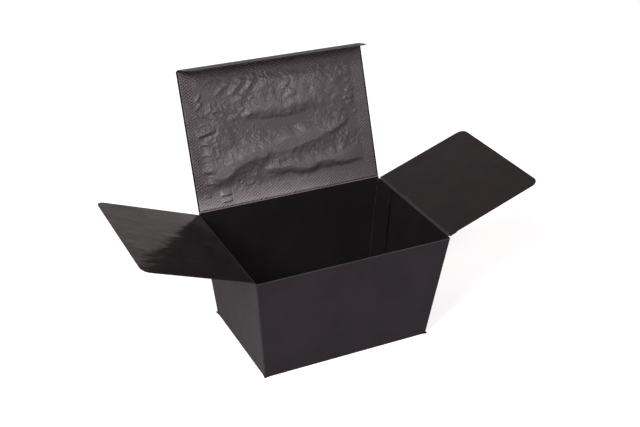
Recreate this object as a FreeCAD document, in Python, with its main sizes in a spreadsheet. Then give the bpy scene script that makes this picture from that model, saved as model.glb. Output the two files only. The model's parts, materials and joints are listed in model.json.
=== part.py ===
import FreeCAD, Part
import os
import Sketcher

# A ballotin: a tapered carton of thin solid board, standing open. One creased blank makes the walls, the base, two
# side flaps, the lid and the lid's tuck flap, and a cushion pad is glued inside the lid.
#
# Frame: millimetres, +X to the right along the front wall, +Y to the back wall that carries the lid, +Z up.
# The origin is the middle of the underside that the box stands on.
#
# Every fold line lies on the outer face of the board. A panel that turns about a fold line is drawn flat in its own
# frame, with the fold line on an axis, its outer face at z = 0 and its inner face above, and is then placed at rest.

SIZES = [
    # name, value, meaning
    ("top_length", 125.0, "outer length of the rim, at the side flaps' fold lines"),
    ("top_width", 88.0, "outer width of the rim, front to back"),
    ("base_length", 109.0, "outer length of the base"),
    ("base_width", 75.0, "outer width of the base"),
    ("wall_height", 69.5, "height of the rim over the ground"),
    ("board", 0.4, "thickness of the board"),
    ("upright_fold_radius", 0.9, "outer radius of the four upright folds"),
    ("crease_reach", 0.6, "from a fold line to the panel that turns about it"),
    ("lid_step", 0.8, "height of the lid's fold line over the side flaps' fold lines"),
    ("flap_overlap", 8.4, "how far the closed side flaps lie over each other"),
    ("flap_back_inset", 1.3, "from the back wall's outer face to a side flap's back edge"),
    ("shoulder_length", 5.0, "length of the wide part of a side flap beside its fold line"),
    ("shoulder_run", 1.5, "length of the slanted step from the shoulder to the front edge"),
    ("shoulder_depth", 0.6, "depth of that step"),
    ("shoulder_clearance", 0.3, "room between a shoulder and the tuck flap of the closed lid"),
    ("flap_corner_radius", 5.2, "radius of a side flap's free corners"),
    ("left_flap_rise", 20.1, "angle of the left flap over the horizontal"),
    ("right_flap_rise", 20.5, "angle of the right flap over the horizontal"),
    ("lid_front_clearance", 0.6, "room between the closed lid's front fold and the front wall"),
    ("lid_end_inset", 0.3, "from a side wall's outer face to the lid's edge"),
    ("lid_lean", 21.5, "angle of the open lid behind the vertical"),
    ("tuck_depth", 15.5, "depth of the tuck flap"),
    ("tuck_end_inset", 0.8, "from the lid's edge to the tuck flap's end, at the fold"),
    ("tuck_taper", 1.6, "how far each end of the tuck flap slants in over its depth"),
    ("tuck_corner_radius", 3.5, "radius of the tuck flap's free corners"),
    ("tuck_fold_angle", 95.5, "angle that the tuck flap is folded in from the lid's plane"),
    ("glue_tab_width", 18.8, "width of the glue tab on the right wall"),
    ("glue_tab_drop", 2.0, "from the rim down to the tab's highest corner"),
    ("glue_tab_slant", 8.5, "how far the tab's top falls over its width"),
    ("seam_gap", 0.5, "gap between the two outer base panels"),
    ("seam_offset", 6.0, "from the middle of the base forward to the straight part of that seam"),
    ("tongue_depth", 12.0, "how far the front base panel's tongue reaches back"),
    ("tongue_half_width", 14.0, "half the width of the tongue at its tip"),
    ("tongue_flare", 9.0, "how much wider the tongue is at its root, on each side"),
    ("score_width", 0.5, "width of the slanting scores in the base's corners"),
    ("score_depth", 0.12, "depth of those scores"),
    ("score_length", 22.0, "their length along each axis"),
    ("ear_reach", 0.6, "how far a folded ear stands out of a base corner"),
    ("ear_leg", 3.0, "length of an ear along each wall"),
    ("ear_height", 0.8, "height of an ear"),
    ("glue_film", 0.05, "glue between the lid and the pad"),
    ("pad_end_margin", 0.8, "from the lid's side edge to the pad"),
    ("pad_fold_margin", 1.2, "from the lid's two fold lines to the pad"),
    ("pad_border_width", 7.0, "width of the pad's crimped border"),
    ("pad_border_thickness", 0.25, "thickness of that border"),
    ("pad_crown", 1.6, "how far the pad's middle swells over its border"),
    ("pad_slope", 30.0, "length over which it swells"),
]

# Lengths and angles that follow from the sizes.
RIM_OVER_BASE_LENGTH = "(sizes.top_length - sizes.base_length) / sizes.wall_height"
RIM_OVER_BASE_WIDTH = "(sizes.top_width - sizes.base_width) / sizes.wall_height"
BACK_HEIGHT = "(sizes.wall_height + sizes.lid_step)"
LID_FOLD_Y = f"(sizes.top_width / 2 + sizes.lid_step * {RIM_OVER_BASE_WIDTH} / 2)"
LID_LENGTH = f"({LID_FOLD_Y} + sizes.top_width / 2 - sizes.board - sizes.lid_front_clearance)"
LID_HALF = "(sizes.top_length / 2 - sizes.lid_end_inset)"
FLAP_LENGTH = "(sizes.top_length / 2 + sizes.flap_overlap / 2)"
SHOULDER_INSET = "(2 * sizes.board + sizes.lid_front_clearance + sizes.shoulder_clearance)"

V = FreeCAD.Vector
doc = FreeCAD.newDocument("ballotin")


def make_sheet():
    """Write every driving dimension into the spreadsheet, with its alias."""
    sheet = doc.addObject("Spreadsheet::Sheet", "sizes")
    for row, (alias, value, meaning) in enumerate(SIZES, start=1):
        sheet.set(f"A{row}", alias)
        sheet.set(f"B{row}", str(value))
        sheet.set(f"C{row}", meaning)
        sheet.setAlias(f"B{row}", alias)
    doc.recompute()
    return sheet


sizes = make_sheet()


def number(expression):
    """Value of an expression in the spreadsheet's names, as a plain number."""
    value = sizes.evalExpression(expression)
    return float(getattr(value, "Value", value))


def make_body(label):
    body = doc.addObject("PartDesign::Body", label)
    body.Label = label
    return body


def plane_of(body, role):
    return next(item for item in body.Origin.OriginFeatures if item.Role == role)


def make_sketch(body, name, loops, role="XY_Plane", offset=None, tilt=None):
    """Closed polygons in a plane of the body. Each corner is an (x, y) pair of expressions that drive it.

    offset is the plane's distance from the origin plane, and tilt its angle about the sketch's own vertical axis.
    """
    sketch = body.newObject("Sketcher::SketchObject", name)
    sketch.AttachmentSupport = [(plane_of(body, role), "")]
    sketch.MapMode = "FlatFace"
    if tilt:
        sketch.AttachmentOffset = FreeCAD.Placement(V(0, 0, 0), FreeCAD.Rotation(V(1, 0, 0), number(tilt)))
        sketch.setExpression("AttachmentOffset.Rotation.Angle", tilt)
    if offset:
        sketch.setExpression("AttachmentOffset.Base.z", offset)
    for corners in loops:
        points = [V(number(x), number(y), 0) for x, y in corners]
        ends = points[1:] + points[:1]
        lines = [sketch.addGeometry(Part.LineSegment(a, b), False) for a, b in zip(points, ends)]
        for line, following in zip(lines, lines[1:] + lines[:1]):
            sketch.addConstraint(Sketcher.Constraint("Coincident", line, 2, following, 1))
        for line, point, (x, y) in zip(lines, points, corners):
            across = sketch.addConstraint(Sketcher.Constraint("DistanceX", -1, 1, line, 1, point.x))
            along = sketch.addConstraint(Sketcher.Constraint("DistanceY", -1, 1, line, 1, point.y))
            sketch.setExpression(f"Constraints[{across}]", x)
            sketch.setExpression(f"Constraints[{along}]", y)
    return sketch


def rectangle(half_x, half_y):
    """Corners of a rectangle about the origin, from two half lengths."""
    return box_corners(f"-({half_x})", half_x, f"-({half_y})", half_y)


def box_corners(low_x, high_x, low_y, high_y):
    return [(low_x, low_y), (high_x, low_y), (high_x, high_y), (low_x, high_y)]


def pad(body, name, sketch, length, reverse=False):
    feature = body.newObject("PartDesign::Pad", name)
    feature.Profile = sketch
    feature.Reversed = reverse
    feature.setExpression("Length", length)
    doc.recompute()
    return feature


def pocket(body, name, sketch, depth):
    """Cut from the sketch's plane towards its normal."""
    before = body.Tip.Shape.Volume
    feature = body.newObject("PartDesign::Pocket", name)
    feature.Profile = sketch
    feature.Reversed = True
    feature.setExpression("Length", depth)
    doc.recompute()
    if feature.Shape.Volume >= before:
        raise RuntimeError(f"{name} cut nothing")
    return feature


def wedge(body, kind, name, lower, upper, low_z, high_z):
    """Block between two rectangles, each given by its corners, at two heights of the body.

    A wedge tapers along its own Y axis, so it is attached to the upright XZ plane, whose normal is -Y.
    """
    feature = body.newObject(f"PartDesign::{kind}Wedge", name)
    feature.AttachmentSupport = [(plane_of(body, "XZ_Plane"), "")]
    feature.MapMode = "FlatFace"
    values = {"Ymin": low_z, "Ymax": high_z}
    for corners, end in ((lower, ""), (upper, "2")):
        (low_x, low_y), (high_x, high_y) = corners[0], corners[2]
        values.update({
            f"X{end}min": low_x, f"X{end}max": high_x,
            f"Z{end}min": f"-({high_y})", f"Z{end}max": f"-({low_y})",
        })
    for name_of_size, value in values.items():
        setattr(feature, name_of_size, number(value))
        feature.setExpression(name_of_size, value)
    doc.recompute()
    return feature


def fillet(body, name, wanted, radius):
    """Round the edges of the body's tip that the test wanted picks out."""
    base = body.Tip
    names = [f"Edge{i}" for i, edge in enumerate(base.Shape.Edges, start=1) if wanted(edge)]
    if not names:
        raise RuntimeError(f"{name} found no edge")
    feature = body.newObject("PartDesign::Fillet", name)
    feature.Base = (base, names)
    feature.setExpression("Radius", radius)
    doc.recompute()
    return feature


def upright_over(height):
    """Test for an edge that starts over a height and climbs most of the wall."""
    climb = number("sizes.wall_height") / 2
    return lambda edge: edge.BoundBox.ZLength > climb and edge.BoundBox.ZMin > height


def through_board_at(corners):
    """Test for an edge that runs through the board at one of some corners of a panel."""
    places = [(number(x), number(y)) for x, y in corners]
    near = number("sizes.board") / 10

    def wanted(edge):
        box = edge.BoundBox
        return box.ZLength > near and any(
            abs(box.Center.x - x) < near and abs(box.Center.y - y) < near and box.XLength < near for x, y in places
        )

    return wanted


def place(body, base, axis, angle):
    """Put a body at rest: its fold line at base, turned about an axis by an angle."""
    body.Placement = FreeCAD.Placement(V(0, 0, 0), FreeCAD.Rotation(axis, number(angle)))
    body.setExpression("Placement.Rotation.Angle", angle)
    for letter, value in zip("xyz", base):
        body.setExpression(f"Placement.Base.{letter}", value)


def taper_at(height, inset):
    """Half sizes of the tapered walls' outline at a height, less an inset."""
    half_x = f"(sizes.base_length + {height} * {RIM_OVER_BASE_LENGTH}) / 2 - {inset}"
    half_y = f"(sizes.base_width + {height} * {RIM_OVER_BASE_WIDTH}) / 2 - {inset}"
    return rectangle(half_x, half_y)


def make_walls(body):
    """Tapered walls and a base of two boards, with soft upright folds and a raised back fold line."""
    wedge(body, "Additive", "outer_block", taper_at("0", "0"), taper_at(BACK_HEIGHT, "0"), "0", BACK_HEIGHT)
    fillet(body, "outer_folds", upright_over(-1), "sizes.upright_fold_radius")

    floor_height = "2 * sizes.board"
    inner_floor, inner_mouth = (taper_at(height, "sizes.board") for height in (floor_height, BACK_HEIGHT))
    wedge(body, "Subtractive", "inside", inner_floor, inner_mouth, floor_height, BACK_HEIGHT)
    fillet(body, "inner_folds", upright_over(number("sizes.board")),
           "max(sizes.upright_fold_radius - sizes.board; sizes.board / 4)")

    past_wall = "sizes.top_length"
    low_rims = box_corners(f"-{past_wall}", past_wall, "-sizes.top_width", "sizes.top_width / 2 - sizes.board")
    above_rim = make_sketch(body, "low_rims_outline", [low_rims], offset="sizes.wall_height")
    pocket(body, "low_rims", above_rim, "2 * sizes.lid_step")


def make_glue_tab(body):
    """Tab glued flat inside the right wall, out of the back right fold, with a slanted top."""
    wall_lean = f"atan({RIM_OVER_BASE_LENGTH} / 2)"
    rise = f"/ cos({wall_lean})"
    top = f"(sizes.wall_height - sizes.glue_tab_drop) {rise}"
    free_top = f"(sizes.wall_height - sizes.glue_tab_drop - sizes.glue_tab_slant) {rise}"
    foot = "sizes.board"
    in_back_wall = "sizes.board / 2"

    def fold_y(height):
        return f"(sizes.base_width + ({height}) * {RIM_OVER_BASE_WIDTH}) / 2 - {in_back_wall}"

    tab = [
        (f"{fold_y(foot)} - sizes.glue_tab_width", foot),
        (fold_y(foot), foot),
        (fold_y(top), top),
        (f"{fold_y(free_top)} - sizes.glue_tab_width", free_top),
    ]
    middle_of_wall = "sizes.base_length / 2 - sizes.board / 2"
    outline = make_sketch(body, "glue_tab_outline", [tab], role="YZ_Plane", offset=middle_of_wall, tilt=wall_lean)
    pad(body, "glue_tab", outline, "1.5 * sizes.board", reverse=True)


def mirrored(corners, sign_x, sign_y):
    return [(f"{sign_x} * ({x})", f"{sign_y} * ({y})") for x, y in corners]


def four_corners(corners):
    """The same polygon in all four corners of the base."""
    return [mirrored(corners, sign_x, sign_y) for sign_x in (1, -1) for sign_y in (1, -1)]


def make_base(body):
    """Folded base: two outer panels that meet in a seam with a tongue, corner scores and small folded ears."""
    half_length = "sizes.base_length / 2"
    half_width = "sizes.base_width / 2"
    root = "(sizes.tongue_half_width + sizes.tongue_flare)"
    straight = "-sizes.seam_offset"
    tip = "(sizes.tongue_depth - sizes.seam_offset)"
    inside_wall = "sizes.board"
    seam = [
        (f"-{half_length} + {inside_wall}", straight),
        (f"-{root}", straight),
        ("-sizes.tongue_half_width", tip),
        ("sizes.tongue_half_width", tip),
        (root, straight),
        (f"{half_length} - {inside_wall}", straight),
    ]
    far_side = [(x, f"{y} + sizes.seam_gap") for x, y in reversed(seam)]
    seam_outline = make_sketch(body, "seam_outline", [seam + far_side])
    pocket(body, "base_seam", seam_outline, "sizes.board")

    near_x = f"{half_length} - 2 * sizes.board"
    near_y = f"{half_width} - 2 * sizes.board"
    score = [
        (near_x, near_y),
        (f"{near_x} - sizes.score_length", f"{near_y} - sizes.score_length"),
        (f"{near_x} - sizes.score_length - sizes.score_width", f"{near_y} - sizes.score_length"),
        (f"{near_x} - sizes.score_width", near_y),
    ]
    score_outline = make_sketch(body, "score_outline", four_corners(score))
    pocket(body, "base_scores", score_outline, "sizes.score_depth")

    ear = [
        (f"{half_length} - sizes.ear_leg", f"{half_width} - sizes.ear_leg"),
        (half_length, f"{half_width} - sizes.ear_leg"),
        (f"{half_length} + sizes.ear_reach", f"{half_width} + sizes.ear_reach"),
        (f"{half_length} - sizes.ear_leg", half_width),
    ]
    ear_outline = make_sketch(body, "ear_outline", four_corners(ear))
    pad(body, "ears", ear_outline, "sizes.ear_height")


def make_carton_body():
    body = make_body("carton_body")
    make_walls(body)
    make_glue_tab(body)
    make_base(body)
    return body


def make_side_flap(label, side, rise):
    """Flap on the left (side -1) or right (side 1) wall, drawn with its fold line on the Y axis."""
    body = make_body(label)
    shoulder_y = f"-sizes.top_width / 2 + {SHOULDER_INSET}"
    front_y = f"{shoulder_y} + sizes.shoulder_depth"
    back_y = "sizes.top_width / 2 - sizes.flap_back_inset"
    step_end = "sizes.shoulder_length + sizes.shoulder_run"
    outline = [
        ("sizes.crease_reach", shoulder_y),
        ("sizes.shoulder_length", shoulder_y),
        (step_end, front_y),
        (FLAP_LENGTH, front_y),
        (FLAP_LENGTH, back_y),
        ("sizes.crease_reach", back_y),
    ]
    corners = mirrored(outline, side, 1)
    pad(body, f"{label}_board", make_sketch(body, f"{label}_outline", [corners]), "sizes.board")
    fillet(body, f"{label}_corners", through_board_at(corners[3:5]), "sizes.flap_corner_radius")
    fold = (f"{side} * sizes.top_length / 2", "0", "sizes.wall_height")
    place(body, fold, V(0, -side, 0), f"sizes.{rise}")
    return body


def place_with_lid(body):
    """Put a body that is drawn in the lid's frame, with the lid's fold line on the X axis."""
    place(body, ("0", LID_FOLD_Y, BACK_HEIGHT), V(1, 0, 0), "90 - sizes.lid_lean")


def make_lid_panel():
    body = make_body("lid_panel")
    outline = box_corners(f"-{LID_HALF}", LID_HALF, "sizes.crease_reach", f"{LID_LENGTH} - sizes.crease_reach")
    pad(body, "lid_board", make_sketch(body, "lid_outline", [outline]), "sizes.board")
    place_with_lid(body)
    return body


def make_tuck_flap():
    """Flap on the lid's free edge, drawn with its fold line on the X axis."""
    body = make_body("tuck_flap")
    root_half = f"{LID_HALF} - sizes.tuck_end_inset"
    tip_half = f"{root_half} - sizes.tuck_taper"
    corners = [
        (f"-({root_half})", "sizes.crease_reach"),
        (root_half, "sizes.crease_reach"),
        (tip_half, "sizes.tuck_depth"),
        (f"-({tip_half})", "sizes.tuck_depth"),
    ]
    pad(body, "tuck_board", make_sketch(body, "tuck_outline", [corners]), "sizes.board")
    fillet(body, "tuck_corners", through_board_at(corners[2:]), "sizes.tuck_corner_radius")
    fold_y = f"{LID_FOLD_Y} + {LID_LENGTH} * sin(sizes.lid_lean * 1deg)"
    fold_z = f"{BACK_HEIGHT} + {LID_LENGTH} * cos(sizes.lid_lean * 1deg)"
    place(body, ("0", fold_y, fold_z), V(1, 0, 0), "90 - sizes.lid_lean + sizes.tuck_fold_angle")
    return body


def make_lid_cushion_pad():
    """Pad on the lid's inner face: a thin flat border around a low crown."""
    body = make_body("lid_cushion_pad")
    half_x = f"({LID_HALF} - sizes.pad_end_margin)"

    def outline(inset):
        low_y = f"sizes.pad_fold_margin + {inset}"
        high_y = f"{LID_LENGTH} - sizes.pad_fold_margin - ({inset})"
        return box_corners(f"-({half_x} - ({inset}))", f"{half_x} - ({inset})", low_y, high_y)

    underside = "sizes.board + sizes.glue_film"
    border_top = f"{underside} + sizes.pad_border_thickness"
    border = make_sketch(body, "border_outline", [outline("0")], offset=underside)
    pad(body, "border", border, "sizes.pad_border_thickness")
    crown_foot = outline("sizes.pad_border_width")
    crown_top = outline("sizes.pad_border_width + sizes.pad_slope")
    wedge(body, "Additive", "crown", crown_foot, crown_top, border_top, f"{border_top} + sizes.pad_crown")
    place_with_lid(body)
    return body


def check(parts):
    """Stop if any object failed or any sub-part is not one closed, valid solid."""
    doc.recompute()
    for item in doc.Objects:
        if "Invalid" in item.State or "Error" in item.State:
            raise RuntimeError(f"{item.Label} failed: {item.State}")
    for part in parts:
        shape = part.Shape
        if shape.isNull() or not shape.isValid() or len(shape.Solids) != 1:
            raise RuntimeError(f"{part.Label} is not one valid solid")


def write(parts):
    os.makedirs("parts", exist_ok=True)
    for part in parts:
        part.Shape.exportStep(f"parts/{part.Label}.step")
        box = part.Shape.BoundBox
        print(f"{part.Label}: {part.Shape.Volume:.1f} mm3, x {box.XMin:.2f} to {box.XMax:.2f},"
              f" y {box.YMin:.2f} to {box.YMax:.2f}, z {box.ZMin:.2f} to {box.ZMax:.2f}")


def main():
    parts = [
        make_carton_body(),
        make_side_flap("left_side_flap", -1, "left_flap_rise"),
        make_side_flap("right_side_flap", 1, "right_flap_rise"),
        make_lid_panel(),
        make_tuck_flap(),
        make_lid_cushion_pad(),
    ]
    check(parts)
    write(parts)


main()
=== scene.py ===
"""Looks of an open ballotin carton: dark laminated board, its four working creases and a crinkled cushion pad.

Every length is in millimetres until it goes into a mesh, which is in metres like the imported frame.
"""

import json
import logging
import math
from dataclasses import dataclass, replace
from enum import Enum

import bmesh
import bpy
import numpy as np
from mathutils import Matrix, Vector, noise

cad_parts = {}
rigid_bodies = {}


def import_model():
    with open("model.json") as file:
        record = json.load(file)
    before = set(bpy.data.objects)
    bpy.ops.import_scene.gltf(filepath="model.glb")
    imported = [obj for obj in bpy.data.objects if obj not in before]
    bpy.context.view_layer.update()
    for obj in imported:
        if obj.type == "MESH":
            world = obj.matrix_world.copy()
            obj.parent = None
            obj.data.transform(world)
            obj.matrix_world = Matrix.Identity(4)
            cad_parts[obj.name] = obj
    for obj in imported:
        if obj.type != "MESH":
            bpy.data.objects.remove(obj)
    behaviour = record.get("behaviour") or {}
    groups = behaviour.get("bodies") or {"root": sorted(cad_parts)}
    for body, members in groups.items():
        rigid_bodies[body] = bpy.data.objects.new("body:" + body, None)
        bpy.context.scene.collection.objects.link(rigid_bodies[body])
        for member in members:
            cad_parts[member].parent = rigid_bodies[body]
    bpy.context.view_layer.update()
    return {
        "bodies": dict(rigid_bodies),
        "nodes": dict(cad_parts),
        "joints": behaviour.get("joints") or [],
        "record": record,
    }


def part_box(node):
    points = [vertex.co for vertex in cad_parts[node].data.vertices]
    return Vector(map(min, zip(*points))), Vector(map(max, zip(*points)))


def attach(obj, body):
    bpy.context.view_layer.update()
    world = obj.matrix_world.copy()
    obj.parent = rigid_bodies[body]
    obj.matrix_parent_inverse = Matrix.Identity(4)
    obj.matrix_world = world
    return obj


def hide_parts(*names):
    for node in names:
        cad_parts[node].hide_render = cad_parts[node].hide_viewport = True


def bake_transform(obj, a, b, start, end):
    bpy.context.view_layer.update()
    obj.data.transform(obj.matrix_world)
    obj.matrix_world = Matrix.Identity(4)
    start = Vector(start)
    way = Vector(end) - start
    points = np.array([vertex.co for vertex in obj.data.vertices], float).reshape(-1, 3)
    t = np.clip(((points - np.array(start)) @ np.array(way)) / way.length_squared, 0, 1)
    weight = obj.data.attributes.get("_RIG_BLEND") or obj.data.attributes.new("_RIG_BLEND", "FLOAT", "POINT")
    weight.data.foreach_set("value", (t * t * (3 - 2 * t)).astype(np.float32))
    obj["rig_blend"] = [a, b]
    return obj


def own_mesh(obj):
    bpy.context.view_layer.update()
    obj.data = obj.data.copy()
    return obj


LOG = logging.getLogger("ballotin")
MM = 0.001
SIDES = (-1, 1)
ACROSS = Vector((1.0, 0.0, 0.0))
ZERO = (0.0, 0.0, 0.0)
WHITE = (1.0, 1.0, 1.0)
Colour = tuple[float, float, float]
Place = tuple[float, float, float]
Point = tuple[float, float]
Array = np.ndarray
Socket = bpy.types.NodeSocket
Material = bpy.types.Material
Object = bpy.types.Object
Shape = bmesh.types.BMesh


class Slot(Enum):
    """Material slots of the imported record."""

    BOARD = "board"
    PAD_PAPER = "pad_paper"


class Body(Enum):
    """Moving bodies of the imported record."""

    CARTON = "carton"
    LEFT_FLAP = "left_flap"
    RIGHT_FLAP = "right_flap"
    LID = "lid"
    TUCK = "tuck"


def placed(name: str, data: bpy.types.ID) -> Object:
    """Puts a mesh, lamp or camera into the scene as an object.

    Args:
        name: The object's name.
        data: What it shows.

    Returns:
        The object.
    """
    made = bpy.data.objects.new(name, data)
    bpy.context.scene.collection.objects.link(made)
    return made


def as_mesh(name: str, shape: Shape) -> bpy.types.Mesh:
    """Turns a finished shape into a mesh.

    Args:
        name: The mesh's name.
        shape: The shape, which is used up.

    Returns:
        The mesh.
    """
    mesh = bpy.data.meshes.new(name)
    shape.to_mesh(mesh)
    shape.free()
    return mesh


class Nodes:
    """Adds shader nodes to one tree and links them."""

    def __init__(self, tree: bpy.types.NodeTree) -> None:
        """Keeps the tree of a material, a world or a group."""
        self.tree = tree

    @classmethod
    def of(cls, owner: bpy.types.ID) -> "Nodes":
        """Empties a tree to build on.

        Args:
            owner: The material or the world whose tree it is.

        Returns:
            A builder on the tree.
        """
        owner.use_nodes = True
        owner.node_tree.nodes.clear()
        return cls(owner.node_tree)

    def add(self, kind: str, inputs: dict | None = None, **settings: object) -> bpy.types.Node:
        """Adds a node.

        Args:
            kind: The node's type, without the word ShaderNode.
            inputs: Values or output sockets for its inputs, by name or number.
            settings: Attributes of the node.

        Returns:
            The new node.
        """
        node = self.tree.nodes.new("ShaderNode" + kind)
        for name, value in settings.items():
            setattr(node, name, value)
        for name, value in (inputs or {}).items():
            socket = node.inputs[name]
            if isinstance(value, Socket):
                self.tree.links.new(value, socket)
            else:
                socket.default_value = (*value, 1.0) if socket.type == "RGBA" else value
        return node

    def maths(self, operation: str, *values: object, clamp: bool = False) -> Socket:
        """Adds a Math node and returns its output."""
        return self.add("Math", dict(enumerate(values)), operation=operation, use_clamp=clamp).outputs[0]

    def vector(self, operation: str, *values: object) -> Socket:
        """Adds a Vector Math node and returns the output that its operation fills."""
        node = self.add("VectorMath", dict(enumerate(values)), operation=operation)
        return node.outputs["Value" if operation in {"LENGTH", "DOT_PRODUCT"} else "Vector"]

    def ramp(self, value: Socket, low: float, high: float, start: object = 0.0, end: object = 1.0) -> Socket:
        """Eases a value from one range into another.

        Args:
            value: The socket that is read.
            low: The value that gives start.
            high: The value that gives end.
            start: The result at low and beyond it.
            end: The result at high and beyond it.

        Returns:
            The eased value's socket.
        """
        inputs = {"Value": value, "From Min": low, "From Max": high, "To Min": start, "To Max": end}
        return self.add("MapRange", inputs, interpolation_type="SMOOTHSTEP").outputs["Result"]

    def mix(self, factor: object, first: object, second: object) -> Socket:
        """Mixes two colours and returns the colour socket."""
        return self.add("Mix", {0: factor, 6: first, 7: second}, data_type="RGBA").outputs[2]

    def between(self, factor: object, first: object, second: object) -> Socket:
        """Mixes two values and returns the value socket."""
        return self.add("Mix", {0: factor, 2: first, 3: second}, data_type="FLOAT").outputs[0]

    def cloudy(self, at: Socket, scale: float, detail: float, roughness: float = 0.5) -> Socket:
        """Adds a noise texture and returns its value."""
        inputs = {"Vector": at, "Scale": scale, "Detail": detail, "Roughness": roughness}
        return self.add("TexNoise", inputs).outputs["Fac"]

    def stretched(self, at: Socket, scale: Place) -> Socket:
        """Scales a place along each axis and returns it."""
        return self.add("Mapping", {"Vector": at, "Scale": scale}).outputs["Vector"]

    def surface(self, colour: Socket, rough: Socket, height: Socket, ior: float, tint: Colour) -> None:
        """Ends a material with a shader whose surface is bumpy.

        Args:
            colour: The base colour.
            rough: The roughness.
            height: The bumps' height in metres.
            ior: The index of refraction.
            tint: The colour of the shine.
        """
        bump = self.add("Bump", {"Height": height, "Distance": 1.0, "Strength": 1.0}).outputs["Normal"]
        shader = self.add("BsdfPrincipled", {"Base Color": colour, "Roughness": rough, "IOR": ior,
                                             "Specular Tint": tint, "Normal": bump})
        self.add("OutputMaterial", {"Surface": shader.outputs["BSDF"]})


class Effect(Nodes):
    """A shader node group that finishes share, built the first time it is asked for."""

    name: str
    takes: dict[str, float | Place]
    gives: tuple[str, ...]

    def __init__(self) -> None:
        """Makes the group with its sockets and its inside."""
        super().__init__(bpy.data.node_groups.new(self.name, "ShaderNodeTree"))
        sockets = self.tree.interface
        for label, value in self.takes.items():
            kind = "NodeSocketVector" if isinstance(value, tuple) else "NodeSocketFloat"
            sockets.new_socket(label, in_out="INPUT", socket_type=kind).default_value = value
        for label in self.gives:
            sockets.new_socket(label, in_out="OUTPUT", socket_type="NodeSocketFloat")
        source = self.tree.nodes.new("NodeGroupInput").outputs
        target = self.tree.nodes.new("NodeGroupOutput").inputs
        for label, socket in zip(self.gives, self.inside(*source[:len(self.takes)])):
            self.tree.links.new(socket, target[label])

    def inside(self, *taken: Socket) -> tuple[Socket, ...]:
        """Makes the nodes between what the group takes and what it gives, both in the order named."""
        raise NotImplementedError

    @classmethod
    def place(cls, nodes: Nodes, **values: object) -> object:
        """Puts the group into a material, and returns its output sockets by name."""
        tree = bpy.data.node_groups.get(cls.name) or cls().tree
        return nodes.add("Group", values, node_tree=tree).outputs


class LineMask(Effect):
    """How near a surface point is to the nearest of several folds, cut edges or seams, broken up by noise: the mask
    for the painted highlights and painted shadows along them.
    """

    name = "line_mask"
    takes = {"Position": ZERO, "Start": ZERO, "Direction": (1.0, 0.0, 0.0), "Width": 0.001, "Strength": 1.0,
             "Most": 0.0}
    gives = ("Mask",)

    def inside(self, here: Socket, start: Socket, direction: Socket, width: Socket, strength: Socket,
               most: Socket) -> tuple[Socket, ...]:
        """Fades out from a line over its width.

        Args:
            here: The surface point.
            start: A point on the line.
            direction: The line's unit direction.
            width: How far it fades, in metres.
            strength: The mask on the line.
            most: The mask of the lines before it.

        Returns:
            The mask.
        """
        away = self.vector("SUBTRACT", here, start)
        distance = self.vector("LENGTH", self.vector("CROSS_PRODUCT", away, direction))
        near = self.maths("SUBTRACT", 1.0, self.maths("DIVIDE", distance, width), clamp=True)
        rough = self.maths("SUBTRACT", self.cloudy(here, 420.0, 3.0), 0.5)
        broken = self.maths("ADD", near, self.maths("MULTIPLY", rough, 0.5))
        kept = self.maths("MULTIPLY", self.ramp(broken, 0.05, 0.75), self.ramp(near, 0.0, 0.12))
        return (self.maths("MAXIMUM", self.maths("MULTIPLY", kept, strength), most),)


class FaceDepth(Effect):
    """How deep a surface point lies behind the nearest of several outer faces of the board."""

    name = "face_depth"
    takes = {"Position": ZERO, "Point": ZERO, "Inward": (0.0, 0.0, 1.0), "Least": 1.0}
    gives = ("Depth",)

    def inside(self, here: Socket, point: Socket, inward: Socket, least: Socket) -> tuple[Socket, ...]:
        """Measures in metres along the face's inward direction, and keeps the least depth so far."""
        depth = self.vector("DOT_PRODUCT", self.vector("SUBTRACT", here, point), inward)
        return (self.maths("MINIMUM", self.maths("ABSOLUTE", depth), least),)


class BoardSurface(Effect):
    """The surface of laminated solid board: slow waves of the sheet, its film's texture and faint fibres."""

    name = "board_surface"
    takes = {"Position": ZERO, "Waves": 1.0}
    gives = ("Height", "Gloss", "Cloud")

    def inside(self, here: Socket, waves: Socket) -> tuple[Socket, ...]:
        """Adds the waves, the film's texture and the fibres.

        Args:
            here: The surface point.
            waves: How strong the waves are.

        Returns:
            The height in metres, a gloss mask and a soft colour mask.
        """
        slow = self.cloudy(here, 55.0, 2.0, 0.45)
        peel = self.cloudy(here, 210.0, 2.0)
        grain = self.cloudy(here, 1500.0, 3.0, 0.6)
        fibre = self.cloudy(self.stretched(here, (420.0, 2600.0, 2600.0)), 1.0, 2.0, 0.6)
        streak = self.cloudy(self.stretched(here, (110.0, 330.0, 330.0)), 1.0, 3.0, 0.55)
        cloud = self.cloudy(here, 38.0, 3.0, 0.6)
        ripple = self.maths("MULTIPLY_ADD", streak, 0.10 * MM, self.maths("MULTIPLY", peel, 0.05 * MM))
        broad = self.maths("MULTIPLY", self.maths("MULTIPLY_ADD", slow, 0.6 * MM, ripple), waves)
        fine = self.maths("MULTIPLY_ADD", grain, 0.0011 * MM, self.maths("MULTIPLY", fibre, 0.0010 * MM))
        gloss = self.maths("ADD", self.maths("MULTIPLY", cloud, 0.6), self.maths("MULTIPLY", fibre, 0.4))
        return self.maths("ADD", broad, fine), gloss, self.ramp(cloud, 0.3, 0.72)


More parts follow.
